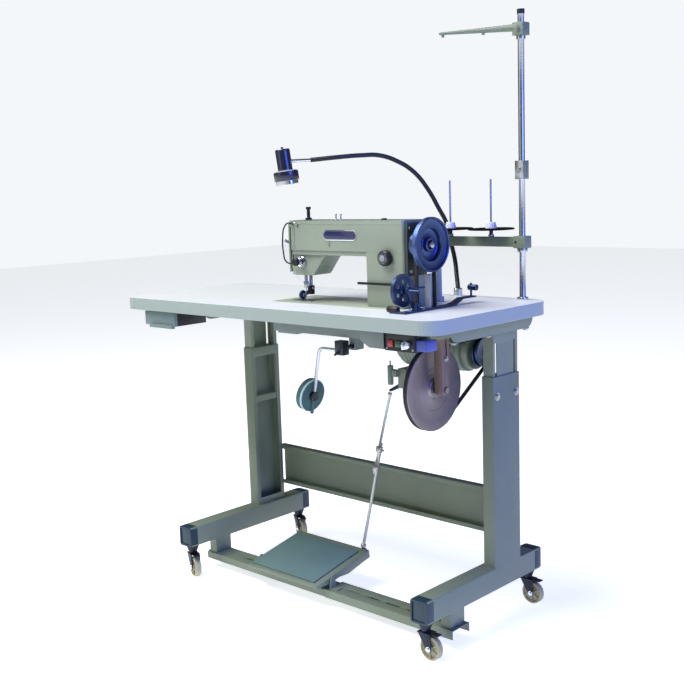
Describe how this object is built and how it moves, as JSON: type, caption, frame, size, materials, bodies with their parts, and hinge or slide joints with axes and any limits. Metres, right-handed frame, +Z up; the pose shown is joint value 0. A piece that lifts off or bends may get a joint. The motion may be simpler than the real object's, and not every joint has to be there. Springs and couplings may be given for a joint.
{
  "type": "industrial sewing machine",
  "caption": "Lockstitch sewing machine let into a wheeled work table, with treadle, under-table motor, belt reducer, bobbin winder, thread stand and lamp.",
  "frame": {"origin": "middle of the object's box on the floor, under the middle of the table", "axes": "+Z up, +X to the operator's right along the table, +Y away from the operator"},
  "size_m": [1.22, 0.5548, 1.626],
  "materials": {
    "table_laminate": "pale grey-green laminate, satin",
    "stand_powder_coat": "grey-green powder coat, fine texture",
    "head_enamel": "pale grey-green enamel, semi-gloss",
    "cover_enamel": "pale grey-green enamel, semi-gloss",
    "cover_plastic": "dark grey, fine texture",
    "blackened_steel": "blued dark steel, satin",
    "bright_steel": "plated bright steel",
    "cream_nylon": "cream nylon, moulded",
    "black_plastic": "black, satin",
    "treadle_rubber": "grey-teal ribbed rubber",
    "belt_rubber": "dark belt rubber",
    "turned_steel": "turned steel, concentric tool marks",
    "brown_primer": "brown paint, satin",
    "motor_paint": "grey-green machine paint",
    "red_plastic": "red, glossy",
    "green_plastic": "dark green, glossy",
    "pan_plastic": "grey, satin",
    "pad_rubber": "dark teal pad on black-painted steel",
    "post_plastic": "grey, satin",
    "lamp_plastic": "navy-black, semi-gloss"
  },
  "bodies": {
    "stand": {"tabletop": "table_laminate", "leg_lower_left": "stand_powder_coat", "leg_lower_right": "stand_powder_coat", "leg_upper_left": "stand_powder_coat", "leg_upper_right": "stand_powder_coat", "crossbar": "stand_powder_coat", "treadle_rail_left": "stand_powder_coat", "treadle_rail_right": "stand_powder_coat", "motor": "motor_paint", "motor_control_box": "motor_paint", "drive_belt_lower": "belt_rubber", "drive_belt_upper": "belt_rubber", "reducer_bracket": "brown_primer", "switch_box": "black_plastic", "drawer_case": "black_plastic", "oil_pan": "pan_plastic", "bed_plate": "head_enamel", "throat_plate": "bright_steel", "arm_casting": "head_enamel", "face_plate": "cover_enamel", "end_cover": "cover_plastic", "winder_base": "blackened_steel", "head_rest_post": "post_plastic", "lamp_neck": "black_plastic", "thread_pole": "bright_steel"},
    "main_drive": {"handwheel": "blackened_steel", "main_shaft": "bright_steel"},
    "reducer": {"reducer_wheel": "turned_steel"},
    "motor_drive": {"motor_pulley": "blackened_steel"},
    "hook": {"rotary_hook": "bright_steel"},
    "needle": {"needle_bar": "bright_steel"},
    "take_up": {"take_up_lever": "bright_steel"},
    "knee": {"knee_lifter": "pad_rubber"},
    "presser": {"presser_bar": "bright_steel"},
    "foot": {"foot_roller": "blackened_steel"},
    "dial": {"stitch_dial": "black_plastic"},
    "tension": {"tension_knob": "blackened_steel"},
    "pressure": {"pressure_screw": "black_plastic"},
    "reverse": {"reverse_lever": "blackened_steel"},
    "start": {"start_button": "green_plastic"},
    "stop": {"stop_button": "red_plastic"},
    "selector": {"selector_knob": "bright_steel"},
    "tray": {"drawer": "black_plastic"},
    "pedal": {"treadle": "stand_powder_coat", "treadle_mat": "treadle_rubber"},
    "pitman": {"pitman_rod": "bright_steel"},
    "lever": {"motor_lever": "blackened_steel"},
    "lamp": {"lamp_head": "lamp_plastic"},
    "guide_arm": {"thread_guide_arm": "stand_powder_coat"},
    "spools": {"spool_arm": "stand_powder_coat"},
    "winder": {"winder_frame": "blackened_steel"},
    "winder_disc": {"winder_wheel": "blackened_steel"},
    "caster_front_left": {"caster_fork_front_left": "blackened_steel"},
    "wheel_front_left": {"caster_wheel_front_left": "cream_nylon"},
    "caster_front_right": {"caster_fork_front_right": "blackened_steel"},
    "wheel_front_right": {"caster_wheel_front_right": "cream_nylon"},
    "caster_rear_left": {"caster_fork_rear_left": "blackened_steel"},
    "wheel_rear_left": {"caster_wheel_rear_left": "cream_nylon"},
    "caster_rear_right": {"caster_fork_rear_right": "blackened_steel"},
    "wheel_rear_right": {"caster_wheel_rear_right": "cream_nylon"}
  },
  "joints": [
    {"name": "handwheel_spin", "type": "hinge", "parent": "stand", "child": "main_drive", "pos_m": [0.44, -0.07045, 1.035], "axis": [1, 0, 0], "continuous": true},
    {"name": "reducer_spin", "type": "hinge", "parent": "stand", "child": "reducer", "pos_m": [0.44, -0.07045, 0.664], "axis": [1, 0, 0], "continuous": true},
    {"name": "motor_spin", "type": "hinge", "parent": "stand", "child": "motor_drive", "pos_m": [0.44, 0.15555, 0.729], "axis": [1, 0, 0], "continuous": true},
    {"name": "hook_spin", "type": "hinge", "parent": "stand", "child": "hook", "pos_m": [0, -0.07045, 0.835], "axis": [1, 0, 0], "continuous": true},
    {"name": "needle_slide", "type": "slide", "parent": "stand", "child": "needle", "axis": [0, 0, 1], "range_m": [-0.022, 0.011]},
    {"name": "take_up_swing", "type": "hinge", "parent": "stand", "child": "take_up", "pos_m": [-0.022, -0.06445, 1.023], "axis": [1, 0, 0], "range_deg": [-15, 25]},
    {"name": "knee_lift", "type": "hinge", "parent": "stand", "child": "knee", "pos_m": [0.197, -0.14845, 0.76], "axis": [0, -1, 0], "range_deg": [0, 20], "stiffness_Nm_per_rad": 8, "springref_deg": -20.05},
    {"name": "presser_slide", "type": "slide", "parent": "stand", "child": "presser", "axis": [0, 0, 1], "range_m": [0, 0.01]},
    {"name": "foot_roller_spin", "type": "hinge", "parent": "presser", "child": "foot", "pos_m": [-0.0238, -0.07045, 0.8856], "axis": [1, 0, 0], "continuous": true},
    {"name": "stitch_dial_turn", "type": "hinge", "parent": "stand", "child": "dial", "pos_m": [0.336, -0.11545, 1.002], "axis": [0, 1, 0], "range_deg": [-20, 300]},
    {"name": "tension_turn", "type": "hinge", "parent": "stand", "child": "tension", "pos_m": [0.016, -0.10545, 0.985], "axis": [0, 1, 0], "continuous": true},
    {"name": "pressure_turn", "type": "hinge", "parent": "stand", "child": "pressure", "pos_m": [-0.008, -0.05145, 1.11], "axis": [0, 0, 1], "continuous": true},
    {"name": "reverse_press", "type": "hinge", "parent": "stand", "child": "reverse", "pos_m": [0.382, -0.12295, 0.934], "axis": [0, -1, 0], "range_deg": [0, 12], "stiffness_Nm_per_rad": 0.6, "springref_deg": -17.19},
    {"name": "start_press", "type": "slide", "parent": "stand", "child": "start", "axis": [0, 1, 0], "range_m": [0, 0.003], "stiffness_N_per_m": 300, "springref_m": -0.003},
    {"name": "stop_press", "type": "slide", "parent": "stand", "child": "stop", "axis": [0, 1, 0], "range_m": [0, 0.003], "stiffness_N_per_m": 300, "springref_m": -0.003},
    {"name": "selector_turn", "type": "hinge", "parent": "stand", "child": "selector", "pos_m": [0.489, -0.22345, 0.802], "axis": [0, 1, 0], "range_deg": [-45, 45]},
    {"name": "drawer_slide", "type": "slide", "parent": "stand", "child": "tray", "axis": [0, -1, 0], "range_m": [0, 0.085]},
    {"name": "treadle_tilt", "type": "hinge", "parent": "stand", "child": "pedal", "pos_m": [-0.053, -0.11345, 0.074], "axis": [1, 0, 0], "range_deg": [-10, 4], "stiffness_Nm_per_rad": 25, "springref_deg": 4.3},
    {"name": "pitman_foot", "type": "hinge", "parent": "pedal", "child": "pitman", "pos_m": [0.08, 0.04026, 0.12854], "axis": [1, 0, 0], "range_deg": [-8, 14]},
    {"name": "motor_lever_swing", "type": "hinge", "parent": "stand", "child": "lever", "pos_m": [0.146, 0.18655, 0.61], "axis": [1, 0, 0], "range_deg": [-12, 24]},
    {"name": "lamp_tilt", "type": "hinge", "parent": "stand", "child": "lamp", "pos_m": [0.0057, -0.10227, 1.26249], "axis": [0.7274, -0.6862, 0], "range_deg": [-40, 40]},
    {"name": "guide_arm_swivel", "type": "hinge", "parent": "stand", "child": "guide_arm", "pos_m": [0.535, 0.20655, 1.576], "axis": [0, 0, 1], "range_deg": [-30, 30]},
    {"name": "spool_arm_swivel", "type": "hinge", "parent": "stand", "child": "spools", "pos_m": [0.535, 0.20655, 1.026], "axis": [0, 0, 1], "range_deg": [-2, 35]},
    {"name": "winder_swing", "type": "hinge", "parent": "stand", "child": "winder", "pos_m": [0.453, -0.14445, 0.8863], "axis": [-1, 0, 0], "range_deg": [0, 10]},
    {"name": "winder_spin", "type": "hinge", "parent": "winder", "child": "winder_disc", "pos_m": [0.424, -0.16245, 0.926], "axis": [1, 0, 0], "continuous": true},
    {"name": "swivel_front_left", "type": "hinge", "parent": "stand", "child": "caster_front_left", "pos_m": [-0.414, -0.21135, 0.095], "axis": [0, 0, 1], "continuous": true},
    {"name": "roll_front_left", "type": "hinge", "parent": "caster_front_left", "child": "wheel_front_left", "pos_m": [-0.39709, -0.21751, 0.0315], "axis": [0.342, 0.9397, 0], "continuous": true},
    {"name": "swivel_front_right", "type": "hinge", "parent": "stand", "child": "caster_front_right", "pos_m": [0.514, -0.21135, 0.095], "axis": [0, 0, 1], "continuous": true},
    {"name": "roll_front_right", "type": "hinge", "parent": "caster_front_right", "child": "wheel_front_right", "pos_m": [0.532, -0.21135, 0.0315], "axis": [0, 1, 0], "continuous": true},
    {"name": "swivel_rear_left", "type": "hinge", "parent": "stand", "child": "caster_rear_left", "pos_m": [-0.414, 0.25345, 0.095], "axis": [0, 0, 1], "continuous": true},
    {"name": "roll_rear_left", "type": "hinge", "parent": "caster_rear_left", "child": "wheel_rear_left", "pos_m": [-0.39709, 0.24729, 0.0315], "axis": [0.342, 0.9397, 0], "continuous": true},
    {"name": "swivel_rear_right", "type": "hinge", "parent": "stand", "child": "caster_rear_right", "pos_m": [0.514, 0.25345, 0.095], "axis": [0, 0, 1], "continuous": true},
    {"name": "roll_rear_right", "type": "hinge", "parent": "caster_rear_right", "child": "wheel_rear_right", "pos_m": [0.532, 0.25345, 0.0315], "axis": [0, 1, 0], "continuous": true}
  ],
  "couplings": [
    {"joint": "reducer_spin", "follows": "handwheel_spin", "ratio": 1},
    {"joint": "motor_spin", "follows": "handwheel_spin", "ratio": 2.753},
    {"joint": "hook_spin", "follows": "handwheel_spin", "ratio": 2},
    {"joint": "take_up_swing", "follows": "needle_slide", "rad_per_m": -16},
    {"joint": "presser_slide", "follows": "knee_lift", "m_per_rad": 0.0235},
    {"joint": "pitman_foot", "follows": "treadle_tilt", "ratio": -1},
    {"joint": "motor_lever_swing", "follows": "treadle_tilt", "ratio": -2.02}
  ]
}
